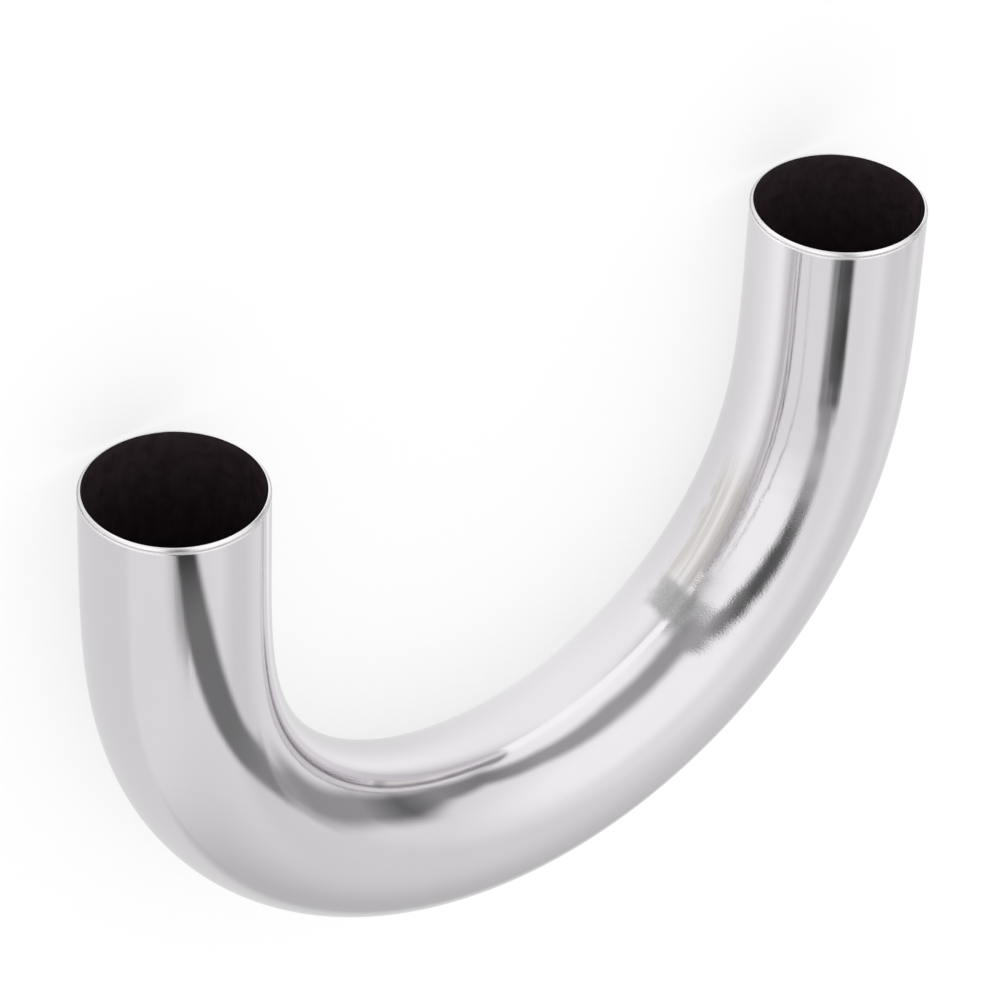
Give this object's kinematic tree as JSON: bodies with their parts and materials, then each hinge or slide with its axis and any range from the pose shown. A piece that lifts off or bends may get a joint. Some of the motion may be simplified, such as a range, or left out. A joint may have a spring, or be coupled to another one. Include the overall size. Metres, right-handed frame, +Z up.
{
  "type": "return bend",
  "caption": "Thin-walled polished steel tube bent through half a turn, with parallel straight legs and open, square-cut mouths.",
  "frame": {"origin": "on the floor, under the middle of the part's box", "axes": "+Z up, square to the plane of the bend; +X out of both mouths, along the legs; +Y across the bend, from one leg to the other"},
  "size_m": [0.1906, 0.2794, 0.0508],
  "materials": {
    "polished_steel": "polished"
  },
  "bodies": {
    "root": {"return_bend": "polished_steel"}
  },
  "joints": []
}
